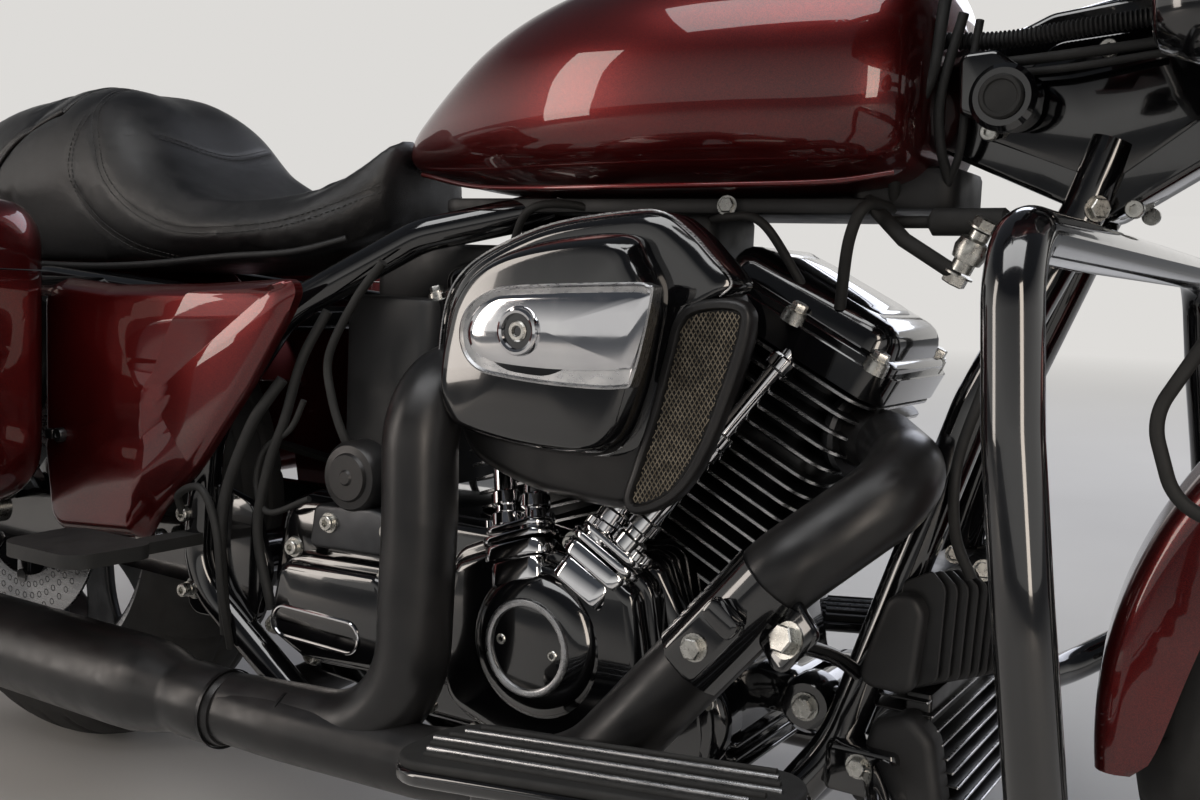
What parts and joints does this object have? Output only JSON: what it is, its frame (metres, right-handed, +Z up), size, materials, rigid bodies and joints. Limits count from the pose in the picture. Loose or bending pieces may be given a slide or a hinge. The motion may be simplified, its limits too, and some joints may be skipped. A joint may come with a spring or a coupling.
{
  "type": "touring cruiser motorcycle",
  "caption": "Full-size touring motorcycle with finned vee engine, fork-mounted fairing, lidded saddlebags, engine guard and footboards, parked on its side stand.",
  "frame": {"origin": "on the ground under the middle of the parked, leaning machine", "axes": "+X towards the front wheel, +Y to the rider's left, +Z up"},
  "size_m": [2.3858, 0.9884, 1.2539],
  "materials": {
    "tyre": "matt black rubber",
    "rim": "machined and dark painted cast aluminium",
    "disc": "brushed steel",
    "black_gloss": "gloss black paint",
    "black_satin": "satin black coating",
    "red": "deep red metallic paint under clear lacquer",
    "chrome": "bright chrome",
    "fins": "black fins with bright machined edges",
    "leather": "smooth black seat cover",
    "rubber": "black rubber",
    "plastic": "grained black plastic",
    "red_lens": "red lens",
    "amber_lens": "amber lens",
    "clear_lens": "clear lens",
    "screen": "dark tinted clear screen",
    "steel": "plated steel"
  },
  "bodies": {
    "chassis": {"air_cleaner_back": "black_satin", "air_cleaner_cover": "black_gloss", "belt": "rubber", "cam_cover": "black_gloss", "cylinders": "fins", "engine_cases": "black_satin", "engine_guard": "black_gloss", "footboard_left": "rubber", "footboard_right": "rubber", "frame": "black_gloss", "front_header": "black_satin", "fuel_tank": "red", "muffler_left": "black_satin", "muffler_right": "black_satin", "oil_cooler": "black_satin", "passenger_board_left": "rubber", "passenger_board_right": "rubber", "plate_bracket": "plastic", "primary_cover": "black_gloss", "pushrod_tubes": "chrome", "rear_axle": "steel", "rear_fender": "red", "rear_header": "black_satin", "rear_shocks": "black_satin", "rear_signals": "amber_lens", "rocker_covers": "black_gloss", "saddlebag_left": "red", "saddlebag_right": "red", "seat": "leather", "side_cover_left": "red", "side_cover_right": "red", "swingarm": "black_gloss", "tail_lamp": "red_lens", "transmission_cover": "black_satin"},
    "front_wheel": {"front_tyre": "tyre", "front_rim": "rim", "front_discs": "disc"},
    "rear_wheel": {"rear_tyre": "tyre", "rear_rim": "rim", "rear_disc": "disc", "rear_pulley": "steel"},
    "steering": {"fork_legs": "black_gloss", "front_axle": "steel", "fork_clamps": "black_gloss", "handlebar": "black_gloss", "grips": "rubber", "front_calipers": "black_gloss", "front_fender": "red", "fairing": "red", "headlamp": "clear_lens", "windscreen": "screen", "mirrors": "black_gloss", "front_signals": "amber_lens", "brake_hose": "rubber"},
    "left_lid": {"bag_lid_left": "red"},
    "right_lid": {"bag_lid_right": "red"},
    "stand": {"side_stand": "steel"},
    "tank_door": {"fuel_door": "black_gloss"}
  },
  "joints": [
    {"name": "steering_turn", "type": "hinge", "parent": "chassis", "child": "steering", "pos_m": [0.61749, -0.01491, 0.84738], "axis": [-0.4384, 0.0705, 0.896], "range_deg": [-30, 30]},
    {"name": "front_wheel_spin", "type": "hinge", "parent": "steering", "child": "front_wheel", "pos_m": [0.86206, -0.05655, 0.31823], "axis": [0, 0.9969, -0.0785], "continuous": true},
    {"name": "rear_wheel_spin", "type": "hinge", "parent": "chassis", "child": "rear_wheel", "pos_m": [-0.76294, -0.05647, 0.31931], "axis": [0, 0.9969, -0.0785], "continuous": true},
    {"name": "left_lid_swing", "type": "hinge", "parent": "chassis", "child": "left_lid", "pos_m": [-0.87294, 0.41451, 0.58087], "axis": [-1, 0, 0], "range_deg": [0, 75]},
    {"name": "right_lid_swing", "type": "hinge", "parent": "chassis", "child": "right_lid", "pos_m": [-0.87294, -0.48073, 0.65132], "axis": [1, 0, 0], "range_deg": [0, 75]},
    {"name": "side_stand_swing", "type": "hinge", "parent": "chassis", "child": "stand", "pos_m": [-0.07294, 0.10673, 0.14969], "axis": [-0.31, 0.9487, 0.0617], "range_deg": [0, 88]},
    {"name": "fuel_door_swing", "type": "hinge", "parent": "chassis", "child": "tank_door", "pos_m": [0.19806, -0.00894, 0.92314], "axis": [0, 0.9969, -0.0785], "range_deg": [0, 80]}
  ]
}
